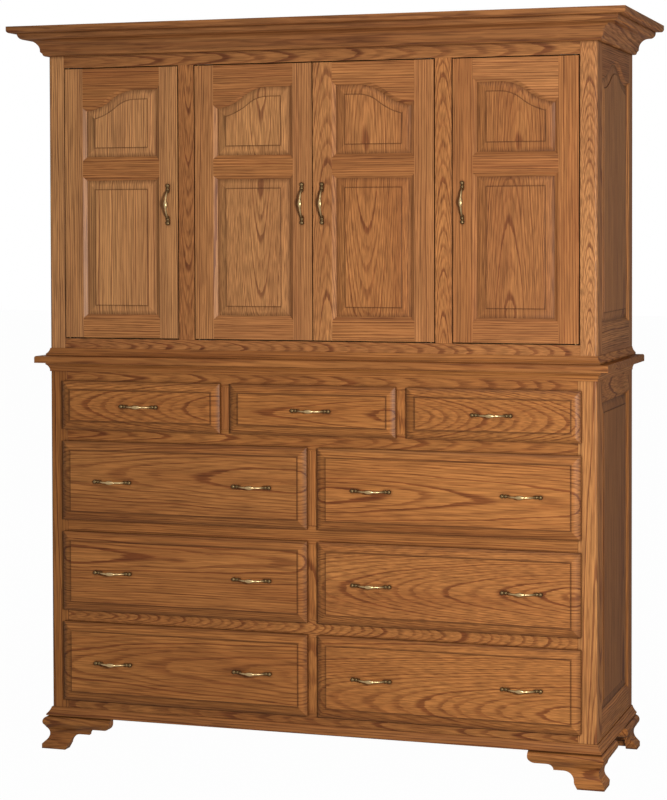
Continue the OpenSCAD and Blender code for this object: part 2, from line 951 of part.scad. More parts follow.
module upper_side_frames() {
  color(oak) place_side(upper_z) difference() {
    union() {
      side_stiles(side_high);
      side_rail_below(side_bottom_rail);
      difference() {
        rail(side_left, side_right, side_high - side_top_rail - slope_w - cut, side_high);
        side_arch() opening_section();
      }
    }
    side_pin_holes();
  }
}

module upper_side_panels() {
  high = side_high - side_top_rail + side_arch_rise;
  color(oak_light) place_side(upper_z) intersection() {
    left_edge(side_left, side_bottom_rail, high - side_bottom_rail) panel_section();
    right_edge(side_right, side_bottom_rail, high - side_bottom_rail) panel_section();
    bottom_edge(side_bottom_rail, 0, side_w) panel_section();
    side_arch() panel_section();
  }
}

module lower_back() {
  color(inner_wood) set_back()
    block([-inner_x, back_y, deck_z], [inner_x, case_d, lower_top]);
}

// Web frames carry the drawers, with a dust panel let into grooves in each opening

runner_w = 52;
web_rail = 40;
web_front = frame_t + web_rail;
web_back = back_y - web_rail;

// Middle of each division between the drawers of a row
function divisions(row) =
  [for (place = [1:row_count(row) - 1]) open_x(row, place) - front_gap_x / 2 - front_lap];

module web_frames() {
  color(inner_wood) set_back() {
    block([-inner_x, frame_t, deck_z], [inner_x, back_y, deck_z + web_t]);
    for (row = [0:rows - 1]) web_frame(row, open_z(row) - web_t);
    web_frame(0, lower_top - web_t);
  }
}

module web_frame(row, z) {
  difference() {
    union() {
      block([-inner_x, frame_t, z], [inner_x, web_front, z + web_t]);
      block([-inner_x, web_back, z], [inner_x, back_y, z + web_t]);
      both_sides()
        runner(inner_x - runner_w, inner_x, z);
      for (middle = divisions(row))
        runner(middle - runner_w, middle + runner_w, z);
    }
    dust_panels(row, z, 0);
  }
  dust_panels(row, z, glue);
}

module runner(left, right, z) {
  block([left, web_front + glue, z], [right, web_back - glue, z + web_t]);
}

module dust_panels(row, z, less) {
  panel_t = 6;
  groove = 6 - less;
  middles = divisions(row);
  low = z + (web_t - panel_t) / 2 + less;
  for (place = [0:row_count(row) - 1]) {
    left = place == 0 ? -inner_x : middles[place - 1];
    right = place == row_count(row) - 1 ? inner_x : middles[place];
    block(
      [left + runner_w - groove, web_front - groove, low],
      [right - runner_w + groove, web_back + groove, low + panel_t - 2 * less]
    );
  }
}

// Guides beside the drawer boxes, and kickers above them that stop a drawn box tipping
module drawer_guides() {
  high = 20;
  color(inner_wood) set_back()
    for (row = [0:rows - 1]) {
      kicker_top = row == 0 ? lower_top - web_t : open_z(row - 1) - web_t;
      both_sides() {
        block([open_x(row, row_count(row) - 1) + open_w(row), frame_t, open_z(row)],
          [inner_x, web_back, open_z(row) + high]);
        block([inner_x - runner_w, frame_t, open_top(row)], [inner_x, web_back, kicker_top]);
      }
      for (middle = divisions(row)) {
        block([middle - front_gap_x / 2 - front_lap, frame_t, open_z(row)],
          [middle + front_gap_x / 2 + front_lap, web_back, open_z(row) + high]);
        block([middle - runner_w, frame_t, open_top(row)],
          [middle + runner_w, web_back, kicker_top]);
      }
    }
}

// Case of the cupboard

module upper_face_frame() {
  inside = half_w - stile_w - glue;
  color(oak) set_back() {
    both_sides() {
      corner_post(stile_w, upper_z, total_h);
      block(
        [half_w - 2 * stile_w - side_opening_w, 0, opening_z + glue],
        [half_w - stile_w - side_opening_w, frame_t, opening_z + opening_h - glue]
      );
    }
    difference() {
      block([-inside, 0, upper_z], [inside, frame_t, opening_z]);
      leaf_pockets();
    }
    difference() {
      block([-inside, 0, opening_z + opening_h], [inside, frame_t, total_h]);
      leaf_pockets();
    }
  }
}

// Pockets for the plates of all the hinges, in the rails below and above the doors
module leaf_pockets() {
  translate([0, -front_y, 0]) each_case_leaf()
    translate([0, 0, -door_gap - leaf_t]) leaf_outline(leaf_t + cut);
}

pin_in = 8;
pin_out = 8;
pin_ys = [45, 465];
pin_heights = [for (k = [-1:1]) opening_z + shelf_z - shelf_pin_r - glue + k * shelf_pitch];

module side_pin_holes() {
  for (y = pin_ys, z = pin_heights)
    translate([y - side_front_y, frame_t - pin_in, z - upper_z]) rotate([-90, 0, 0])
      cylinder(r = shelf_pin_r + 0.05, h = pin_in + cut);
}

module upper_boards() {
  top_z = total_h - board_t;
  bay_stop = 40;
  color(inner_wood) set_back() {
    // Floor and top
    block([-inner_x, frame_t, opening_z - board_t], [inner_x, back_y, opening_z]);
    block([-inner_x, frame_t, top_z], [inner_x, back_y, total_h]);
    both_sides() {
      // Partition behind each middle stile
      difference() {
        block(
          [partition_x - board_t / 2, frame_t, opening_z + glue],
          [partition_x + board_t / 2, back_y, top_z - glue]
        );
        for (y = pin_ys, z = pin_heights, side = [-1, 1])
          translate([partition_x + side * board_t / 2, y, z]) rotate([0, 90, 0])
            cylinder(r = shelf_pin_r + 0.05, h = 2 * pin_in, center = true);
      }
      // Stop behind the free edge of the outer door
      door_stop(partition_x + board_t / 2 + glue, bay_stop);
    }
    // Stop behind the two middle doors
    door_stop(-bay_stop, 2 * bay_stop);
  }
}

module door_stop(x, w) {
  block(
    [x, frame_t + run_gap, opening_z + opening_h - 12],
    [x + w, frame_t + run_gap + 14, opening_z + opening_h + 14]
  );
}

// One shelf in each bay
module shelves() {
  z = opening_z + shelf_z;
  side_from = partition_x + board_t / 2 + 1;
  mid_half = partition_x - board_t / 2 - 1;
  color(inner_wood) set_back() {
    block([-mid_half, 30, z], [mid_half, back_y - 4, z + board_t]);
    both_sides()
      block([side_from, 30, z], [inner_x - 1, back_y - 4, z + board_t]);
  }
}

module shelf_pins() {
  faces = [[partition_x - board_t / 2, -1], [partition_x + board_t / 2, 1], [inner_x, -1]];
  color(steel) set_back() both_sides()
    for (face = faces, y = pin_ys)
      translate([face[0] - face[1] * (pin_in - glue), y, pin_heights[1]])
        rotate([0, face[1] * 90, 0]) cylinder(r = shelf_pin_r, h = pin_in + pin_out - glue);
}

module upper_back() {
  color(inner_wood) set_back()
    block([-inner_x, back_y, upper_z], [inner_x, case_d, total_h]);
}

crown_moulding();
upper_boards();
upper_face_frame();
upper_side_frames();
upper_side_panels();
upper_back();
shelves();
shelf_pins();
hinge_plates();
waist_moulding();
plank();
cove_moulding();
lower_face_frame();
lower_side_frames();
lower_side_panels();
lower_back();
web_frames();
drawer_guides();
base_moulding();
bracket_feet();
door_frame(0);  // left_door_frame
door_panels(0);  // left_door_panels
door_hardware(0);  // left_door_hardware
door_frame(1);  // centre_left_door_frame
door_panels(1);  // centre_left_door_panels
door_hardware(1);  // centre_left_door_hardware
door_frame(2);  // centre_right_door_frame
door_panels(2);  // centre_right_door_panels
door_hardware(2);  // centre_right_door_hardware
door_frame(3);  // right_door_frame
door_panels(3);  // right_door_panels
door_hardware(3);  // right_door_hardware
drawer_front(0, 0);  // top_left_drawer_front
drawer_box(0, 0);  // top_left_drawer_box
drawer_pulls(0, 0);  // top_left_drawer_pull
drawer_front(0, 1);  // top_middle_drawer_front
drawer_box(0, 1);  // top_middle_drawer_box
drawer_pulls(0, 1);  // top_middle_drawer_pull
drawer_front(0, 2);  // top_right_drawer_front
drawer_box(0, 2);  // top_right_drawer_box
drawer_pulls(0, 2);  // top_right_drawer_pull
drawer_front(1, 0);  // second_left_drawer_front
drawer_box(1, 0);  // second_left_drawer_box
drawer_pulls(1, 0);  // second_left_drawer_pulls
drawer_front(1, 1);  // second_right_drawer_front
drawer_box(1, 1);  // second_right_drawer_box
drawer_pulls(1, 1);  // second_right_drawer_pulls
drawer_front(2, 0);  // third_left_drawer_front
drawer_box(2, 0);  // third_left_drawer_box
drawer_pulls(2, 0);  // third_left_drawer_pulls
drawer_front(2, 1);  // third_right_drawer_front
drawer_box(2, 1);  // third_right_drawer_box
drawer_pulls(2, 1);  // third_right_drawer_pulls
drawer_front(3, 0);  // bottom_left_drawer_front
drawer_box(3, 0);  // bottom_left_drawer_box
drawer_pulls(3, 0);  // bottom_left_drawer_pulls
drawer_front(3, 1);  // bottom_right_drawer_front
drawer_box(3, 1);  // bottom_right_drawer_box
drawer_pulls(3, 1);  // bottom_right_drawer_pulls
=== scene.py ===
"""Dresses the packed mule chest: red oak boards, each cut from its own place in the log, antique brass
pulls, plated steel hinges, and a plain pale studio."""

import json
import math
import random

import bmesh
import bpy
from bpy.props import FloatProperty, FloatVectorProperty, PointerProperty
from bpy.types import NodeSocket, Operator, Panel, PropertyGroup
from mathutils import Matrix, Vector
from mathutils.bvhtree import BVHTree

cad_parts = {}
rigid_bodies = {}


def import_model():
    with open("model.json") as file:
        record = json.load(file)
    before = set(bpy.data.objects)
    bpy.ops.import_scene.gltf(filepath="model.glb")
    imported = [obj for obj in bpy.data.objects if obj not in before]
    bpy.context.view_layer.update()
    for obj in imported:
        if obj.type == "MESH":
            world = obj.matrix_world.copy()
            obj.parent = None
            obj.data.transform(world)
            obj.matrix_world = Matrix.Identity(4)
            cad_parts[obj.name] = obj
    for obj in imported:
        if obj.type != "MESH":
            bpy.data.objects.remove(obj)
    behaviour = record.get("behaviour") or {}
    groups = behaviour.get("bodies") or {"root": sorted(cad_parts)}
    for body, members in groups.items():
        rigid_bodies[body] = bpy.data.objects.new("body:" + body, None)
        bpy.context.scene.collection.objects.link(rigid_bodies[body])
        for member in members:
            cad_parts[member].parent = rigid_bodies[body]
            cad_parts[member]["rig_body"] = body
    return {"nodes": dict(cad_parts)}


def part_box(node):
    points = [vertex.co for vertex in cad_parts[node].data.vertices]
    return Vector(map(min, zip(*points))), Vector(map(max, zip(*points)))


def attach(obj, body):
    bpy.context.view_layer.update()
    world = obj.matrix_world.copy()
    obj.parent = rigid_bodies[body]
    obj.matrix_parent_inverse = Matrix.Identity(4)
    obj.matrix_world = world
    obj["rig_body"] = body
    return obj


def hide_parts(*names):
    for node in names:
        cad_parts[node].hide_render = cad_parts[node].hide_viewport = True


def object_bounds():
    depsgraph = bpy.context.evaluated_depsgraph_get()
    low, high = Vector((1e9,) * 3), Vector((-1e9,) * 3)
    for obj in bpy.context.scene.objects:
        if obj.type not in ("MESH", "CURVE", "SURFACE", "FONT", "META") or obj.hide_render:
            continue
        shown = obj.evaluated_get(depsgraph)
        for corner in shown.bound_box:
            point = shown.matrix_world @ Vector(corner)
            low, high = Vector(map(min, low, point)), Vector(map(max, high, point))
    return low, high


bl_info = {
    "name": "Mule chest",
    "version": (1, 0, 0),
    "blender": (4, 5, 0),
    "location": "3D View > Sidebar > Chest",
    "description": "Dresses the packed mule chest in stained red oak and antique brass",
    "category": "Object",
}

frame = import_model()
CAD_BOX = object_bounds()

MOULDINGS = ["crown_moulding", "waist_moulding", "cove_moulding", "base_moulding", "plank"]
FACE_FRAMES = ["upper_face_frame", "lower_face_frame"]
SIDE_FRAMES = ["upper_side_frames", "lower_side_frames"]
SIDE_PANELS = ["upper_side_panels", "lower_side_panels"]
DOORS = ["left", "centre_left", "centre_right", "right"]
TOP_DRAWERS = ["top_left", "top_middle", "top_right"]
WIDE_DRAWERS = [f"{row}_{side}" for row in ("second", "third", "bottom") for side in ("left", "right")]
DRAWERS = TOP_DRAWERS + WIDE_DRAWERS
INNER_BOARDS = ["upper_boards", "shelves", "upper_back", "lower_back", "web_frames", "drawer_guides"]

# Lengths are in metres. UPRIGHT is the number of the axis that points up.
UPRIGHT = 2
# Points closer than MERGE become one, and faces that turn by less than FLAT become one face.
MERGE = 1e-6
FLAT = math.radians(0.4)
# Edges that turn by more than CREASE are sharp. On raised pieces the mitres of the sunk margin are too.
CREASE = math.radians(33)
MITRE = math.radians(6.5)
# Boards closer than this lie against each other, and their edges there stay as they were sawn.
TOUCHING = 0.0003
# How far sanding took off the sharp edges of the mouldings.
MOULDING_EDGE = 0.0005
# A raised field stands 1.5 mm above the start of its margin; 0.1 mm for glue and a tolerance come on top.
STEP = 0.0017
# How much further the margin then goes down, as a round, on the panels and on the drawer fronts.
PANEL_MARGIN = 0.004
FRONT_MARGIN = 0.007
# How much of a board's depth counts in its rings: the profiles would cut them to stripes with all of it.
RELIEF = 0.5
# The share of boards that show straight lines, and how much duller the wood of the cupboard is drawn: a
# painted sheen, standing in for the pale reflection over the upper case.
STRAIGHT_SHARE = 0.45
CUPBOARD_PAINTED_SHEEN = 0.7
# Boards are counted from the bottom up, by their places rounded to this many digits.
DIGITS = 3
# How far apart along the log two boards may have been cut.
LOG_LENGTH = 20.0

# How often each pattern of the wood repeats in a metre: along the grain, beside the pith and away from it.
WANDER = (2.2, 7.0, 7.0)
JITTER = (9.0, 130.0, 130.0)
TEETH = (9.0, 420.0, 420.0)
PORES = (14.0, 330.0, 330.0)
FIBRES = (6.0, 340.0, 340.0)
PATCHES = (1.6, 14.0, 14.0)
# How often good and lean years follow each other in a metre of growth, and by how many rings they differ.
YEARS = 34.0
YEARS_SWING = 2.6

# How far the foot and the bow of a pull stand off the wood: the bow was rubbed bright.
PULL_FOOT = 0.006
PULL_BOW = 0.022

# Where the photographer stood, and the camera's turn to the left, its tilt and its roll in degrees.
CAMERA_PLACE = (1.83082, -5.65884, 1.42899)
CAMERA_ANGLES = (18.0027, -1.5845, -0.1575)
# Film width and focal length in millimetres, and how far the lens was shifted, as a share of the width.
FILM_WIDTH = 36.0
FOCAL_LENGTH = 97.909
LENS_SHIFT = -0.1375
# How far the camera sees, and how far the floor reaches to each side.
SIGHT = 200.0
FLOOR_REACH = 30.0

# How the boards that stand out were cut: the pith's place beside the board's middle, its depth below the
# face, its rise along the board, how pointed the figure is, and the tone, about 0 for dark and 1 for pale.
FIGURES = {
    # The crown is given a dark tone: partly its wood, partly painted shade on its faces that turn down from
    # the light.
    ("crown_moulding", 1): (-0.110, 0.060, 0.010, 1.0, -0.05),
    ("waist_moulding", 1): (-0.120, 0.060, 0.008, 1.0, 0.12),
    ("cove_moulding", 1): (-0.120, 0.060, 0.008, 1.0, 0.30),
    ("plank", 0): (-0.144, 0.053, 0.010, 1.0, 0.25),
    ("base_moulding", 1): (0.100, 0.060, -0.010, 1.0, 0.05),
    ("bracket_feet", 2): (0.008, 0.130, 0.056, 1.0, 0.00),
    ("bracket_feet", 5): (-0.004, 0.090, 0.042, 1.0, 0.18),
    ("upper_face_frame", 0): (0.004, 0.120, 0.110, 2.2, 0.22),
    ("upper_face_frame", 1): (0.006, 0.110, -0.100, 2.5, 0.35),
    ("upper_face_frame", 2): (0.000, 0.120, 0.125, 2.5, 0.50),
    ("upper_face_frame", 3): (-0.100, 0.070, 0.012, 1.0, 1.10),
    ("upper_face_frame", 4): (0.003, 0.150, 0.165, 3.2, 0.74),
    # The top rail under the crown is given a dark tone: partly its wood, partly painted shade under the
    # crown.
    ("upper_face_frame", 5): (-0.040, 0.090, 0.060, 1.5, 0.05),
    ("lower_face_frame", 0): (0.006, 0.110, -0.070, 2.0, 0.05),
    ("lower_face_frame", 2): (0.004, 0.160, 0.170, 2.4, 0.35),
    ("lower_face_frame", 4): (-0.060, 0.080, 0.015, 1.0, 0.05),
    ("lower_face_frame", 5): (0.050, 0.080, 0.030, 1.0, 0.82),
    ("lower_face_frame", 6): (0.100, 0.060, 0.010, 1.0, 0.30),
    ("lower_face_frame", 8): (0.004, 0.110, 0.060, 2.0, 0.28),
    ("lower_face_frame", 11): (-0.010, 0.120, 0.070, 2.0, 0.25),
    ("left_door_frame", 1): (-0.130, 0.060, 0.006, 1.0, 0.90),
    ("left_door_frame", 2): (-0.150, 0.070, 0.005, 1.0, 0.90),
    ("left_door_panels", 0): (0.150, 0.060, 0.010, 1.0, 1.22),
    ("left_door_panels", 1): (0.140, 0.060, 0.010, 1.0, 1.22),
    ("centre_left_door_frame", 1): (0.080, 0.080, 0.020, 1.0, 0.75),
    ("centre_left_door_frame", 2): (-0.120, 0.060, 0.010, 1.0, 0.75),
    ("centre_left_door_panels", 0): (0.022, 0.085, -0.080, 1.7, 0.92),
    ("centre_left_door_panels", 1): (0.022, 0.085, -0.060, 1.7, 0.92),
    ("centre_right_door_frame", 1): (0.008, 0.120, 0.095, 1.8, 0.65),
    ("centre_right_door_frame", 2): (0.120, 0.060, 0.008, 1.0, 0.65),
    ("centre_right_door_panels", 0): (-0.018, 0.100, -0.075, 1.4, 0.50),
    ("centre_right_door_panels", 1): (-0.020, 0.100, 0.050, 1.4, 0.52),
    ("right_door_frame", 1): (0.120, 0.070, 0.006, 1.0, 0.44),
    ("right_door_frame", 2): (-0.110, 0.070, 0.010, 1.0, 0.44),
    ("right_door_panels", 0): (-0.015, 0.090, 0.060, 1.4, 0.30),
    ("right_door_panels", 1): (0.010, 0.100, 0.045, 1.4, 0.30),
    ("upper_side_panels", 0): (0.120, 0.070, 0.006, 1.0, 0.65),
    ("upper_side_panels", 1): (0.120, 0.070, 0.006, 1.0, 0.65),
    ("upper_side_frames", 1): (0.250, 0.020, 0.002, 1.0, 0.40),
    ("upper_side_frames", 7): (0.250, 0.030, 0.002, 1.0, 0.40),
    ("lower_side_panels", 0): (0.120, 0.070, 0.006, 1.0, 0.05),
    ("lower_side_panels", 1): (0.120, 0.070, 0.006, 1.0, 0.05),
    ("top_left_drawer_front", 0): (0.000, 0.110, -0.110, 1.2, 0.50),
    ("top_middle_drawer_front", 0): (-0.005, 0.090, -0.050, 1.4, 0.40),
    ("top_right_drawer_front", 0): (-0.012, 0.130, 0.150, 1.3, 0.35),
    ("second_left_drawer_front", 0): (0.020, 0.100, -0.030, 1.0, 0.25),
    ("second_right_drawer_front", 0): (-0.012, 0.080, 0.032, 1.0, 0.50),
    ("third_left_drawer_front", 0): (0.050, 0.075, 0.014, 1.0, 0.40),
    ("third_right_drawer_front", 0): (-0.005, 0.100, -0.095, 1.2, 0.52),
    ("bottom_left_drawer_front", 0): (0.000, 0.110, -0.030, 1.0, 0.40),
    ("bottom_right_drawer_front", 0): (-0.055, 0.120, -0.085, 1.2, 0.52),
}


def linear(code):
    """Turns an sRGB hex colour to the linear one that Blender works with."""
    parts = [int(code[at : at + 2], 16) / 255 for at in (1, 3, 5)]
    return [part / 12.92 if part <= 0.04045 else ((part + 0.055) / 1.055) ** 2.4 for part in parts]


def add(tree, kind, inputs=None, **settings):
    """Adds a node with its settings, and gives each named input a value or a link."""
    node = tree.nodes.new("ShaderNode" + kind)
    for name, value in settings.items():
        setattr(node, name, value)
    for key, value in (inputs or {}).items():
        if isinstance(value, NodeSocket):
            tree.links.new(value, node.inputs[key])
        else:
            node.inputs[key].default_value = value
    return node


class OakSettings(PropertyGroup):
    """Shades and grain of the stained red oak."""

    pale: FloatVectorProperty(
        name="Pale latewood",
        description="Dense wood between the pore rings, where the stain is thinnest",
        subtype="COLOR",
        default=linear("#B9793F"),
    )
    deep: FloatVectorProperty(
        name="Deep latewood",
        description="Dense wood where a board took more stain",
        subtype="COLOR",
        default=linear("#9C5F2F"),
    )
    early: FloatVectorProperty(
        name="Earlywood",
        description="Open rings of pores, which soak up the stain",
        subtype="COLOR",
        default=linear("#743D1C"),
    )
    pore: FloatVectorProperty(
        name="Pores",
        description="Single pores, short dark dashes along the grain",
        subtype="COLOR",
        default=linear("#5E2F15"),
    )
    # The stain's dark colour, also used for painted shade in corners, gaps and sunk margins.
    glaze_and_shade: FloatVectorProperty(
        name="Stain and painted shade in corners",
        description="Stain, and painted shade, in inner corners and sunk margins",
        subtype="COLOR",
        default=linear("#43230F"),
    )
    ring: FloatProperty(
        name="Ring width",
        description="Usual distance between two growth rings",
        unit="LENGTH",
        default=0.0056,
        min=0.001,
    )
    edge: FloatProperty(
        name="Eased edge",
        description="How far sanding took off the sharp outer edges",
        unit="LENGTH",
        default=0.0008,
        min=0.0,
    )


class InnerSettings(PropertyGroup):
    """Shades of the unstained, sealed wood inside."""

    pale: FloatVectorProperty(
        name="Pale wood",
        description="Sealed wood without stain",
        subtype="COLOR",
        default=linear("#D8B27E"),
    )
    deep: FloatVectorProperty(
        name="Deep wood",
        description="Darker boards of the sealed wood",
        subtype="COLOR",
        default=linear("#C39A66"),
    )
    early: FloatVectorProperty(
        name="Ring lines",
        description="Pore rings of the sealed wood",
        subtype="COLOR",
        default=linear("#A67C4C"),
    )


class MetalSettings(PropertyGroup):
    """Shades of the fittings."""

    rubbed: FloatVectorProperty(
        name="Rubbed brass",
        description="Brass where the dark finish was buffed off",
        subtype="COLOR",
        default=linear("#AD9268"),
    )
    patina: FloatVectorProperty(
        name="Dark brass",
        description="Brass under its chemically darkened finish",
        subtype="COLOR",
        default=linear("#4A371F"),
    )
    plated: FloatVectorProperty(
        name="Zinc plate",
        description="Bright zinc on the hinge plates and shelf pins",
        subtype="COLOR",
        default=linear("#B9BCBE"),
    )


class StudioSettings(PropertyGroup):
    """Floor, lamps and room light."""

    floor: FloatVectorProperty(
        name="Floor",
        description="Colour of the floor as it throws light back up",
        subtype="COLOR",
        default=linear("#9A9A98"),
    )
    key: FloatProperty(
        name="Key lamp",
        description="Small soft lamp before the right corner, at the foot of the cupboard, in watts",
        default=95.0,
        min=0.0,
    )
    top: FloatProperty(
        name="Top lamp",
        description="Soft lamp above the front, in watts",
        default=34.0,
        min=0.0,
    )
    back: FloatProperty(
        name="Back lamp",
        description="Soft lamp behind the chest, in watts",
        default=90.0,
        min=0.0,
    )
    room: FloatProperty(
        name="Room light",
        description="Even light from the whole room",
        default=0.04,
        min=0.0,
    )


def islands(mesh):
    """Lists the vertices of each separate board of a mesh."""
    mesh.verts.index_update()
    found = []
    seen = set()
    for start in mesh.verts:
        if start.index in seen:
            continue
        seen.add(start.index)
        board = []
        queue = [start]
        while queue:
            vert = queue.pop()
            board.append(vert)
            for edge in vert.link_edges:
                other = edge.other_vert(vert)
                if other.index not in seen:
                    seen.add(other.index)
                    queue.append(other)
        found.append(board)
    return found


def ease_edges(mesh, width):
    """Rounds the sharp outer edges, except where another board of the mesh lies against them."""
    owner = {}
    for number, board in enumerate(islands(mesh)):
        for vert in board:
            for face in vert.link_faces:
                owner[face] = number
    mesh.faces.index_update()
    mesh.faces.ensure_lookup_table()
    owners = [owner[face] for face in mesh.faces]
    tree = BVHTree.FromBMesh(mesh)
    sharp = []
    for edge in mesh.edges:
        if len(edge.link_faces) != 2 or not edge.is_convex or edge.calc_face_angle() < CREASE:
            continue
        own = owner[edge.link_faces[0]]
        middle = (edge.verts[0].co + edge.verts[1].co) / 2
        touched = tree.find_nearest_range(middle, TOUCHING)
        if all(owners[hit[2]] == own for hit in touched):
            sharp.append(edge)
    bmesh.ops.bevel(
        mesh,
        geom=sharp,
        offset=width,
        offset_type="OFFSET",
        segments=2,
        profile=0.5,
        affect="EDGES",
        clamp_overlap=True,
        material=-1,
    )


def cut_of_board(name, number, width):
    """Gives the pith's place beside a board's middle, its depth and rise, where the board starts along the
    log, and its looks: tone, how dull it is drawn, which on the cupboard is also a painted sheen, and how
    pointed the figure is."""
    draw = random.Random(f"{name} {number}")
    tone = draw.uniform(0.35, 0.60)
    dull = draw.uniform(0.0, 0.3)
    # The cupboard's boards are drawn duller: a painted sheen for the pale reflection over the upper case.
    if name.startswith("upper") or "door" in name or name == "crown_moulding":
        dull += CUPBOARD_PAINTED_SHEEN
    point = 1.0
    start = draw.uniform(0.0, LOG_LENGTH)
    side = draw.choice((-1, 1))
    # A board cut far beside the pith shows straight lines, one cut over it shows pointed arches.
    if draw.random() < STRAIGHT_SHARE or name.endswith("door_frame"):
        pith = side * draw.uniform(0.09, 0.16)
        depth = draw.uniform(0.04, 0.09)
        tilt = draw.uniform(-0.02, 0.02)
    else:
        pith = side * draw.uniform(0.0, 0.35) * width
        depth = draw.uniform(0.08, 0.15)
        tilt = draw.choice((-1, 1)) * draw.uniform(0.035, 0.075)
    if (name, number) in FIGURES:
        pith, depth, tilt, point, tone = FIGURES[name, number]
    return pith, depth, tilt, start, (tone, dull, point)


def lay_grain(mesh, name, upright, margin):
    """Writes on each board where its wood lay in the log, as lengths along, beside and away from the pith,
    then the board's looks, and how far across the sunk margin of a raised field each point lies: 0 at the
    field's foot, 1 at the low edge, below 0 on the field itself."""
    log = mesh.verts.layers.float_vector.new("log")
    lot = mesh.verts.layers.float_vector.new("board")
    across_margin = mesh.verts.layers.float.new("sunk")
    boards = []
    for board in islands(mesh):
        low = Vector([min(vert.co[axis] for vert in board) for axis in range(3)])
        high = Vector([max(vert.co[axis] for vert in board) for axis in range(3)])
        middle = (low + high) / 2
        place = [round(part, DIGITS) for part in (middle.z, middle.x, middle.y)]
        boards.append((place, low, high, board))
    boards.sort(key=lambda entry: entry[0])
    for number, (_, low, high, board) in enumerate(boards):
        size = high - low
        thin, wide, long = sorted(range(3), key=lambda axis: size[axis])
        if upright and long != UPRIGHT:
            long, wide = UPRIGHT, long
        middle = (low + high) / 2
        pith, depth, tilt, start, looks = cut_of_board(name, number, size[wide])
        face = high if thin == 0 and middle.x > 0 else low
        for vert in board:
            place = vert.co - middle
            along = place[long]
            away = place[thin] * RELIEF + depth + tilt * along
            vert[log] = Vector((along + start, place[wide] - pith, away))
            vert[lot] = Vector(looks)
            # The margin is round, so the way across it grows as the root of its depth.
            sunk = (abs(vert.co[thin] - face[thin]) - STEP) / margin if margin else -1.0
            vert[across_margin] = math.sqrt(min(sunk, 1.0)) if sunk > 0 else sunk


def lay_boards(name, material, edge=0.0, upright=False, margin=0.0):
    """Makes a piece from a CAD node's boards, with eased edges and its own grain, to stand for the node."""
    node = frame["nodes"][name]
    mesh = bmesh.new()
    mesh.from_mesh(node.data)
    bmesh.ops.remove_doubles(mesh, verts=mesh.verts, dist=MERGE)
    bmesh.ops.dissolve_limit(
        mesh,
        angle_limit=FLAT,
        use_dissolve_boundaries=False,
        verts=mesh.verts,
        edges=mesh.edges,
        delimit=set(),
    )
    if edge:
        ease_edges(mesh, edge)
    lay_grain(mesh, name, upright, margin)
    for face in mesh.faces:
        face.smooth = True
        face.material_index = 0
    data = bpy.data.meshes.new(name + "_oak")
    mesh.to_mesh(data)
    mesh.free()
    data.set_sharp_from_angle(angle=MITRE if margin else CREASE)
    data.materials.append(material)
    piece = bpy.data.objects.new(name + "_oak", data)
    bpy.context.scene.collection.objects.link(piece)
    shade = piece.modifiers.new("Even shading", "WEIGHTED_NORMAL")
    shade.keep_sharp = True
    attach(piece, node["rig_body"])
    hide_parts(name)
    return piece


def dress(name, material):
    """Gives a CAD node its finish."""
    node = frame["nodes"][name]
    if not node.material_slots:
        node.data.materials.append(material)
    for place in node.material_slots:
        place.material = material


def new_material(name):
    """Starts an empty material. Gives it and its node tree."""
    material = bpy.data.materials.new(name)
    material.use_nodes = True
    material.node_tree.nodes.clear()
    return material, material.node_tree


def drawn_out(tree, log, pattern, detail):
    """Adds a pattern of the wood that is drawn out along the grain."""
    place = add(tree, "Mapping", {"Vector": log, "Scale": pattern}).outputs[0]
    return add(tree, "TexNoise", {"Vector": place, "Scale": 1.0, "Detail": detail}).outputs[0]


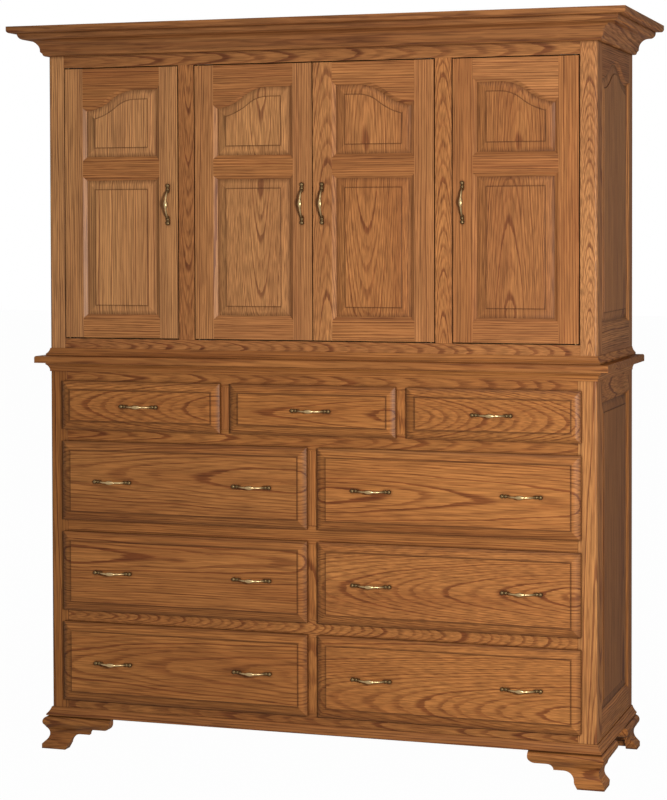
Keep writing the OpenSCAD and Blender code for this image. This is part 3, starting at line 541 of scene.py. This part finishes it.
def ring_pattern(tree, ring):
    """Adds the growth rings and pores. Gives how dark the pore ring is, how dark the single pores are,
    the fine streaks along the grain, the wide drift of tone, and the board's looks."""
    log = add(tree, "Attribute", attribute_name="log").outputs["Vector"]
    board = add(tree, "Attribute", attribute_name="board").outputs["Vector"]
    board = add(tree, "SeparateXYZ", {0: board}).outputs

    # The stem isn't round or straight: its rings wander some millimetres, waver, and have ragged edges.
    pointed = add(tree, "CombineXYZ", {"Y": board["Z"], "Z": 1.0}).outputs[0]
    across = add(tree, "VectorMath", {0: log, 1: pointed}, operation="MULTIPLY").outputs[0]
    bent = add(tree, "VectorMath", {0: across}, operation="LENGTH").outputs["Value"]
    for pattern, reach in ((WANDER, 0.016), (JITTER, 0.0020), (TEETH, 0.0014)):
        shift = drawn_out(tree, log, pattern, 2.0)
        bent = add(tree, "Math", {0: shift, 1: reach, 2: bent}, operation="MULTIPLY_ADD").outputs[0]

    # Good and lean years: the width of the rings changes over some 30 mm of growth.
    years = add(tree, "Math", {0: bent, 1: YEARS}, operation="MULTIPLY").outputs[0]
    lean = {"W": years, "Scale": 1.0, "Detail": 1.0}
    growth = add(tree, "TexNoise", lean, noise_dimensions="1D").outputs[0]
    growth = add(tree, "Math", {0: growth, 1: YEARS_SWING}, operation="MULTIPLY").outputs[0]
    count = add(tree, "Math", {0: bent, 1: 1 / ring, 2: growth}, operation="MULTIPLY_ADD").outputs[0]
    year = add(tree, "Math", {0: count}, operation="FLOOR").outputs[0]
    part = add(tree, "Math", {0: count}, operation="FRACT").outputs[0]
    # A ring starts with a sudden row of wide pores, which thins out over the first half of the year.
    rise = add(tree, "MapRange", {"Value": part, "From Max": 0.08}, interpolation_type="SMOOTHSTEP")
    fall = add(
        tree,
        "MapRange",
        {"Value": part, "From Min": 0.22, "From Max": 0.50, "To Min": 1.0, "To Max": 0.0},
        interpolation_type="SMOOTHSTEP",
    )
    band = add(tree, "Math", {0: rise.outputs[0], 1: fall.outputs[0]}, operation="MULTIPLY").outputs[0]
    strength = add(tree, "TexWhiteNoise", {"W": year}, noise_dimensions="1D").outputs["Value"]
    strength = add(tree, "MapRange", {"Value": strength, "To Min": 0.30, "To Max": 1.0}).outputs[0]
    band = add(tree, "Math", {0: band, 1: strength}, operation="MULTIPLY").outputs[0]

    # Real pores are 0.3 mm wide. They are drawn some 1.5 mm wide and 35 mm long, or they would not show.
    pores = drawn_out(tree, log, PORES, 1.0)
    pores = add(
        tree,
        "MapRange",
        {"Value": pores, "From Min": 0.52, "From Max": 0.64},
        interpolation_type="SMOOTHSTEP",
    ).outputs[0]
    open_wood = add(tree, "MapRange", {"Value": band, "To Min": 0.45, "To Max": 1.0}).outputs[0]
    pores = add(tree, "Math", {0: pores, 1: open_wood}, operation="MULTIPLY").outputs[0]

    # Single fibres are too fine to show. They are drawn as soft streaks some 3 mm apart.
    streak = drawn_out(tree, log, FIBRES, 0.5)
    drift = drawn_out(tree, log, PATCHES, 2.0)
    drift = add(tree, "MapRange", {"Value": drift, "From Min": 0.2, "From Max": 0.8}).outputs[0]
    return band, pores, streak, drift, board


def stained_red_oak():
    """Red oak, planed and sanded, wiped with a brown stain and sprayed with satin lacquer: pore rings far
    darker than the dense wood between them, a soft sheen, and stain with painted shade in the inner corners
    and sunk margins."""
    oak = bpy.context.scene.chest_oak
    material, tree = new_material("stained_red_oak")
    band, pores, streak, drift, board = ring_pattern(tree, oak.ring)
    tone, dullness_and_sheen = board["X"], board["Y"]
    wood = add(tree, "Mix", {0: drift, 6: (*oak.pale, 1), 7: (*oak.deep, 1)}, data_type="RGBA").outputs[2]
    for part, strength, shade in ((band, 0.95, oak.early), (pores, 0.60, oak.pore)):
        cover = add(tree, "Math", {0: part, 1: strength}, operation="MULTIPLY").outputs[0]
        wood = add(tree, "Mix", {0: cover, 6: wood, 7: (*shade, 1)}, data_type="RGBA").outputs[2]
    # Fine streaks are lighter and darker by a fifth, and so are whole boards.
    fine = add(
        tree,
        "MapRange",
        {"Value": streak, "From Min": 0.3, "From Max": 0.7, "To Min": 0.78, "To Max": 1.24},
    ).outputs[0]
    whole = add(tree, "MapRange", {"Value": tone, "To Min": 0.81, "To Max": 1.25}, clamp=False).outputs[0]
    value = add(tree, "Math", {0: fine, 1: whole}, operation="MULTIPLY").outputs[0]
    # The palest boards lean to honey, and those of the cupboard are drawn a little duller than the chest's:
    # a painted sheen, standing in for the pale reflection over the upper case.
    pale = add(tree, "MapRange", {"Value": tone, "From Min": 0.5}).outputs[0]
    hue = add(tree, "MapRange", {"Value": pale, "To Min": 0.5, "To Max": 0.507}).outputs[0]
    rich = add(tree, "MapRange", {"Value": pale, "To Min": 0.997, "To Max": 0.945}).outputs[0]
    rich = add(tree, "Math", {0: dullness_and_sheen, 1: -0.035, 2: rich}, operation="MULTIPLY_ADD").outputs[0]
    wood = add(
        tree,
        "HueSaturation",
        {"Hue": hue, "Saturation": rich, "Value": value, "Color": wood},
    ).outputs[0]
    # Painted shade, with some stain in it: an occlusion test darkens the last few millimetres of every
    # inner corner, crease and gap toward the stain's colour.
    corner = add(tree, "AmbientOcclusion", {"Distance": 0.008}, samples=6).outputs["AO"]
    corner = add(
        tree,
        "MapRange",
        {"Value": corner, "From Min": 0.35, "From Max": 0.92, "To Min": 0.85, "To Max": 0.0},
    ).outputs[0]
    wood = add(tree, "Mix", {0: corner, 6: wood, 7: (*oak.glaze_and_shade, 1)}, data_type="RGBA").outputs[2]
    # The stain is wiped off a raised field. The low half of the sunk margin is darkened, partly by stain
    # and partly as painted shade, and a thin dark line at the field's foot is a painted shadow of the step,
    # with stain in it.
    sunk = add(tree, "Attribute", attribute_name="sunk").outputs["Fac"]
    way = add(tree, "MapRange", {"Value": sunk}).outputs[0]
    inside = add(tree, "MapRange", {"Value": sunk, "From Min": -0.2, "From Max": -0.05}).outputs[0]
    fade = {"Value": way, "From Max": 0.11, "To Min": 0.6, "To Max": 0.0}
    outside = add(tree, "MapRange", fade).outputs[0]
    quirk_shadow_and_stain = add(tree, "Math", {0: inside, 1: outside}, operation="MULTIPLY").outputs[0]
    margin = add(tree, "MapRange", {"Value": way, "From Min": 0.5, "To Max": 0.50}).outputs[0]
    stain = add(tree, "Math", {0: quirk_shadow_and_stain, 1: margin}, operation="ADD").outputs[0]
    wood = add(tree, "Mix", {0: stain, 6: wood, 7: (*oak.glaze_and_shade, 1)}, data_type="RGBA").outputs[2]
    # The sunk margin reads as one even slope: it is sanded steeper at the field's foot than it was cut.
    rest = add(tree, "Math", {0: way, 1: -0.5, 2: 1.0}, operation="MULTIPLY_ADD").outputs[0]
    slope = add(tree, "Math", {0: way, 1: rest}, operation="MULTIPLY").outputs[0]
    slope = add(tree, "Bump", {"Height": slope, "Strength": 1.0, "Distance": 0.010}, invert=True).outputs[0]
    # The pores are left open: hollow and a little rougher than the dense wood.
    hollow = add(tree, "Math", {0: band, 1: 0.5, 2: pores}, operation="MULTIPLY_ADD").outputs[0]
    relief = add(
        tree,
        "Bump",
        {"Height": hollow, "Strength": 0.35, "Distance": 0.0002, "Normal": slope},
        invert=True,
    ).outputs[0]
    sheen = add(tree, "MapRange", {"Value": hollow, "To Min": 0.40, "To Max": 0.56}).outputs[0]
    # Seen at a slant, satin lacquer scatters the bright room away, or the sides would look chalky.
    slant = add(tree, "LayerWeight", {"Blend": 0.5}).outputs["Facing"]
    lacquer = add(
        tree,
        "MapRange",
        {"Value": slant, "From Min": 0.4, "From Max": 0.8, "To Min": 0.30, "To Max": 0.12},
    ).outputs[0]
    surface = add(
        tree,
        "BsdfPrincipled",
        {
            "Base Color": wood,
            "Roughness": sheen,
            "IOR": 1.5,
            "Specular IOR Level": 0.0,
            "Coat Weight": lacquer,
            "Coat Roughness": 0.38,
            "Normal": relief,
        },
    )
    add(tree, "OutputMaterial", {"Surface": surface.outputs[0]})
    return material


def sealed_oak():
    """Oak and maple ply inside, only sealed: pale, dry and dull, with faint rings."""
    inner = bpy.context.scene.chest_inner
    material, tree = new_material("sealed_inner_wood")
    band, pores, streak, drift, board = ring_pattern(tree, bpy.context.scene.chest_oak.ring)
    pale, deep = (*inner.pale, 1), (*inner.deep, 1)
    wood = add(tree, "Mix", {0: drift, 6: pale, 7: deep}, data_type="RGBA").outputs[2]
    cover = add(tree, "Math", {0: band, 1: 0.6, 2: pores}, operation="MULTIPLY_ADD").outputs[0]
    cover = add(tree, "Math", {0: cover, 1: 0.45}, operation="MULTIPLY").outputs[0]
    wood = add(tree, "Mix", {0: cover, 6: wood, 7: (*inner.early, 1)}, data_type="RGBA").outputs[2]
    fine = add(
        tree,
        "MapRange",
        {"Value": streak, "From Min": 0.3, "From Max": 0.7, "To Min": 0.93, "To Max": 1.07},
    ).outputs[0]
    whole = add(tree, "MapRange", {"Value": board["X"], "To Min": 0.92, "To Max": 1.05}).outputs[0]
    value = add(tree, "Math", {0: fine, 1: whole}, operation="MULTIPLY").outputs[0]
    wood = add(tree, "HueSaturation", {"Value": value, "Color": wood}).outputs[0]
    surface = add(
        tree,
        "BsdfPrincipled",
        {"Base Color": wood, "Roughness": 0.62, "IOR": 1.5, "Specular IOR Level": 0.3},
    )
    add(tree, "OutputMaterial", {"Surface": surface.outputs[0]})
    return material


def antique_brass(name, wood):
    """Cast brass, darkened in a bath and buffed: dark brown near the wood, paler and brighter on the bow,
    which stands away from it and was rubbed. The wood's face lies at wood, along Y."""
    metal = bpy.context.scene.chest_metal
    material, tree = new_material(name)
    place = add(tree, "TexCoord").outputs["Object"]
    # The dark finish wore off in spots of a few millimetres.
    mottle = {"Vector": place, "Scale": 260.0, "Detail": 3.0, "Roughness": 0.6}
    spots = add(tree, "TexNoise", mottle).outputs[0]
    depth = add(tree, "SeparateXYZ", {0: place}).outputs["Y"]
    rubbed = add(
        tree,
        "MapRange",
        {
            "Value": depth,
            "From Min": wood - PULL_BOW,
            "From Max": wood - PULL_FOOT,
            "To Min": 0.75,
            "To Max": 0.05,
        },
    ).outputs[0]
    worn = add(tree, "Math", {0: spots, 1: 0.5, 2: rubbed}, operation="MULTIPLY_ADD").outputs[0]
    worn = add(tree, "MapRange", {"Value": worn, "From Min": 0.25, "From Max": 1.05}).outputs[0]
    dark, bright = (*metal.patina, 1), (*metal.rubbed, 1)
    colour = add(tree, "Mix", {0: worn, 6: dark, 7: bright}, data_type="RGBA").outputs[2]
    dull = add(tree, "MapRange", {"Value": worn, "To Min": 0.48, "To Max": 0.28}).outputs[0]
    relief = add(tree, "Bump", {"Height": spots, "Strength": 0.15, "Distance": 0.0002}).outputs[0]
    surface = add(
        tree,
        "BsdfPrincipled",
        {"Base Color": colour, "Metallic": 1.0, "Roughness": dull, "Normal": relief},
    )
    add(tree, "OutputMaterial", {"Surface": surface.outputs[0]})
    return material


def zinc_plate():
    """Stamped steel with bright zinc plate: cool grey, finely mottled."""
    metal = bpy.context.scene.chest_metal
    material, tree = new_material("zinc_plated_steel")
    place = add(tree, "TexCoord").outputs["Object"]
    spots = add(tree, "TexNoise", {"Vector": place, "Scale": 400.0, "Detail": 2.0}).outputs[0]
    shade = add(tree, "MapRange", {"Value": spots, "To Min": 0.8, "To Max": 1.1}).outputs[0]
    colour = add(tree, "HueSaturation", {"Value": shade, "Color": (*metal.plated, 1)}).outputs[0]
    dull = add(tree, "MapRange", {"Value": spots, "To Min": 0.30, "To Max": 0.45}).outputs[0]
    surface = add(tree, "BsdfPrincipled", {"Base Color": colour, "Metallic": 1.0, "Roughness": dull})
    add(tree, "OutputMaterial", {"Surface": surface.outputs[0]})
    return material


def finish(name, maker):
    """Gives the named material, and makes it the first time."""
    return bpy.data.materials.get(name) or maker()


def outer_oak():
    """Gives the finish of all wood that shows from outside."""
    return finish("stained_red_oak", stained_red_oak)


def inner_wood():
    """Gives the finish of the wood inside."""
    return finish("sealed_inner_wood", sealed_oak)


class CHEST_OT_mouldings(Operator):
    """Crown, waist, cove and base mouldings, and the plank between the cases"""

    bl_idname = "chest.mouldings"
    bl_label = "Mouldings and plank"

    def execute(self, context):
        for name in MOULDINGS:
            lay_boards(name, outer_oak(), edge=MOULDING_EDGE)
        return {"FINISHED"}


class CHEST_OT_feet(Operator):
    """Ogee bracket feet"""

    bl_idname = "chest.feet"
    bl_label = "Bracket feet"

    def execute(self, context):
        lay_boards("bracket_feet", outer_oak(), edge=context.scene.chest_oak.edge)
        return {"FINISHED"}


class CHEST_OT_face_frames(Operator):
    """Posts, rails and stiles around the doors and drawers"""

    bl_idname = "chest.face_frames"
    bl_label = "Face frames"

    def execute(self, context):
        for name in FACE_FRAMES:
            lay_boards(name, outer_oak(), edge=context.scene.chest_oak.edge)
        return {"FINISHED"}


class CHEST_OT_sides(Operator):
    """Panelled sides of both cases"""

    bl_idname = "chest.sides"
    bl_label = "Case sides"

    def execute(self, context):
        edge = context.scene.chest_oak.edge
        for name in SIDE_FRAMES:
            lay_boards(name, outer_oak(), edge=edge)
        for name in SIDE_PANELS:
            lay_boards(name, outer_oak(), edge=edge / 2, upright=True, margin=PANEL_MARGIN)
        return {"FINISHED"}


class CHEST_OT_doors(Operator):
    """Frames and raised panels of the four doors"""

    bl_idname = "chest.doors"
    bl_label = "Doors"

    def execute(self, context):
        edge = context.scene.chest_oak.edge
        for door in DOORS:
            panels = door + "_door_panels"
            lay_boards(door + "_door_frame", outer_oak(), edge=edge)
            lay_boards(panels, outer_oak(), edge=edge / 2, upright=True, margin=PANEL_MARGIN)
        return {"FINISHED"}


class CHEST_OT_drawer_fronts(Operator):
    """Lipped and raised fronts of the nine drawers"""

    bl_idname = "chest.drawer_fronts"
    bl_label = "Drawer fronts"

    def execute(self, context):
        edge = context.scene.chest_oak.edge
        for drawer in DRAWERS:
            lay_boards(drawer + "_drawer_front", outer_oak(), edge=edge, margin=FRONT_MARGIN)
        return {"FINISHED"}


class CHEST_OT_drawer_boxes(Operator):
    """Dovetailed boxes behind the drawer fronts"""

    bl_idname = "chest.drawer_boxes"
    bl_label = "Drawer boxes"

    def execute(self, context):
        for drawer in DRAWERS:
            lay_boards(drawer + "_drawer_box", inner_wood())
        return {"FINISHED"}


class CHEST_OT_inner_boards(Operator):
    """Shelves, partitions, backs, web frames and guides"""

    bl_idname = "chest.inner_boards"
    bl_label = "Inner boards"

    def execute(self, context):
        for name in INNER_BOARDS:
            lay_boards(name, inner_wood())
        return {"FINISHED"}


class CHEST_OT_fittings(Operator):
    """Brass pulls, steel hinge plates and shelf pins"""

    bl_idname = "chest.fittings"
    bl_label = "Fittings"

    def execute(self, context):
        zinc = finish("zinc_plated_steel", zinc_plate)
        door_brass = antique_brass("antique_brass_on_doors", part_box("left_door_frame")[0].y)
        drawer_brass = antique_brass("antique_brass_on_drawers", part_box("top_left_drawer_front")[0].y)
        for door in DOORS:
            dress(door + "_door_hardware", door_brass)
        for drawer in TOP_DRAWERS:
            dress(drawer + "_drawer_pull", drawer_brass)
        for drawer in WIDE_DRAWERS:
            dress(drawer + "_drawer_pulls", drawer_brass)
        for name in ("hinge_plates", "shelf_pins"):
            dress(name, zinc)
        return {"FINISHED"}


def background_rays(tree):
    """Adds a switch that is 1 for what the camera sees, directly, in gloss or through glass."""
    path = add(tree, "LightPath").outputs
    seen = path["Is Camera Ray"]
    for other in (path["Is Glossy Ray"], path["Is Transmission Ray"]):
        seen = add(tree, "Math", {0: seen, 1: other}, operation="MAXIMUM").outputs[0]
    return seen


def pale_floor():
    """Matt studio board, white to the eye with a faint soft shadow. It throws little light up, or the
    undersides of the mouldings would look washed out."""
    studio = bpy.context.scene.chest_studio
    material, tree = new_material("matt_white_board")
    place = add(tree, "TexCoord").outputs["Object"]
    grain = add(tree, "TexNoise", {"Vector": place, "Scale": 3.0, "Detail": 2.0}).outputs[0]
    shade = add(tree, "MapRange", {"Value": grain, "To Min": 0.985, "To Max": 1.0}).outputs[0]
    colour = add(tree, "HueSaturation", {"Value": shade, "Color": (*studio.floor, 1)}).outputs[0]
    matt = add(tree, "BsdfDiffuse", {"Color": colour}).outputs[0]
    white = add(tree, "Emission", {"Color": (1, 1, 1, 1), "Strength": 1.0}).outputs[0]
    # To the camera the board is white but for a trace of its shading, which is the chest's shadow.
    share = add(tree, "Math", {0: background_rays(tree), 1: 0.985}, operation="MULTIPLY").outputs[0]
    mixed = add(tree, "MixShader", {0: share, 1: matt, 2: white}).outputs[0]
    add(tree, "OutputMaterial", {"Surface": mixed})
    return material


def hang_lamp(name, watts, size, place, aim):
    """Hangs one soft rectangular white lamp and points it."""
    lamp = bpy.data.lights.new(name, "AREA")
    lamp.shape = "RECTANGLE"
    lamp.size, lamp.size_y = size
    lamp.energy = watts
    holder = bpy.data.objects.new(name, lamp)
    holder.location = place
    holder.rotation_euler = (Vector(aim) - Vector(place)).to_track_quat("-Z", "Y").to_euler()
    bpy.context.scene.collection.objects.link(holder)


def place_camera():
    """Sets the camera where the photographer stood: before the right corner, above the waist."""
    turn, tilt, roll = (math.radians(angle) for angle in CAMERA_ANGLES)
    ahead = Vector((-math.sin(turn) * math.cos(tilt), math.cos(turn) * math.cos(tilt), math.sin(tilt)))
    right = Vector((math.cos(turn), math.sin(turn), 0.0))
    above = right.cross(ahead)
    across = right * math.cos(roll) + above * math.sin(roll)
    upward = above * math.cos(roll) - right * math.sin(roll)
    lens = bpy.data.cameras.new("camera")
    lens.sensor_width = FILM_WIDTH
    lens.lens = FOCAL_LENGTH
    lens.shift_y = LENS_SHIFT
    lens.clip_end = SIGHT
    camera = bpy.data.objects.new("camera", lens)
    stand = Matrix.Translation(Vector(CAMERA_PLACE))
    camera.matrix_world = stand @ Matrix((across, upward, -ahead)).transposed().to_4x4()
    bpy.context.scene.collection.objects.link(camera)
    bpy.context.scene.camera = camera


class CHEST_OT_studio(Operator):
    """Floor, lamps, room light and camera"""

    bl_idname = "chest.studio"
    bl_label = "Studio"

    def execute(self, context):
        studio = context.scene.chest_studio
        place_camera()
        board = bmesh.new()
        bmesh.ops.create_grid(board, x_segments=1, y_segments=1, size=FLOOR_REACH)
        bmesh.ops.translate(board, verts=board.verts, vec=(0.0, 0.0, CAD_BOX[0][2]))
        data = bpy.data.meshes.new("studio_floor")
        board.to_mesh(data)
        board.free()
        data.materials.append(pale_floor())
        floor = bpy.data.objects.new("studio_floor", data)
        context.scene.collection.objects.link(floor)
        middle = (0.0, 0.0, 1.0)
        hang_lamp("key_lamp", studio.key, size=(0.5, 0.5), place=(1.9, -3.0, 1.25), aim=(0.2, 0.0, 0.8))
        hang_lamp("top_lamp", studio.top, size=(2.6, 1.4), place=(0.5, -3.2, 4.3), aim=middle)
        hang_lamp("back_lamp", studio.back, size=(3.0, 2.0), place=(-2.8, 4.2, 3.2), aim=middle)
        world = bpy.data.worlds.new("pale_room")
        context.scene.world = world
        world.use_nodes = True
        tree = world.node_tree
        tree.nodes.clear()
        room = add(tree, "Background", {"Color": (0.97, 0.985, 1.0, 1), "Strength": studio.room}).outputs[0]
        white = add(tree, "Background", {"Color": (1, 1, 1, 1), "Strength": 1.0}).outputs[0]
        mixed = add(tree, "MixShader", {0: background_rays(tree), 1: room, 2: white}).outputs[0]
        add(tree, "OutputWorld", {"Surface": mixed})
        context.scene.view_settings.view_transform = "Standard"
        return {"FINISHED"}


SETTINGS = {
    "chest_oak": OakSettings,
    "chest_inner": InnerSettings,
    "chest_metal": MetalSettings,
    "chest_studio": StudioSettings,
}
STEPS = [
    CHEST_OT_studio,
    CHEST_OT_mouldings,
    CHEST_OT_feet,
    CHEST_OT_face_frames,
    CHEST_OT_sides,
    CHEST_OT_doors,
    CHEST_OT_drawer_fronts,
    CHEST_OT_drawer_boxes,
    CHEST_OT_inner_boards,
    CHEST_OT_fittings,
]


class CHEST_PT_sidebar(Panel):
    """Lists the chest's pieces and settings in the sidebar"""

    bl_idname = "CHEST_PT_sidebar"
    bl_label = "Mule chest"
    bl_space_type = "VIEW_3D"
    bl_region_type = "UI"
    bl_category = "Chest"

    def draw(self, context):
        for step in STEPS:
            self.layout.operator(step.bl_idname)
        for name, kind in SETTINGS.items():
            part = self.layout.box()
            part.label(text=kind.__doc__)
            for field in kind.__annotations__:
                part.prop(getattr(context.scene, name), field)


def register():
    """Adds the settings, the pieces and the sidebar."""
    for kind in [*SETTINGS.values(), *STEPS, CHEST_PT_sidebar]:
        bpy.utils.register_class(kind)
    for name, kind in SETTINGS.items():
        setattr(bpy.types.Scene, name, PointerProperty(type=kind))


def unregister():
    """Takes them away again."""
    for name in SETTINGS:
        delattr(bpy.types.Scene, name)
    for kind in [CHEST_PT_sidebar, *reversed(STEPS), *SETTINGS.values()]:
        bpy.utils.unregister_class(kind)


def main():
    """Makes the whole scene."""
    register()
    for step in STEPS:
        group, name = step.bl_idname.split(".")
        getattr(getattr(bpy.ops, group), name)()


if __name__ == "__main__":
    main()
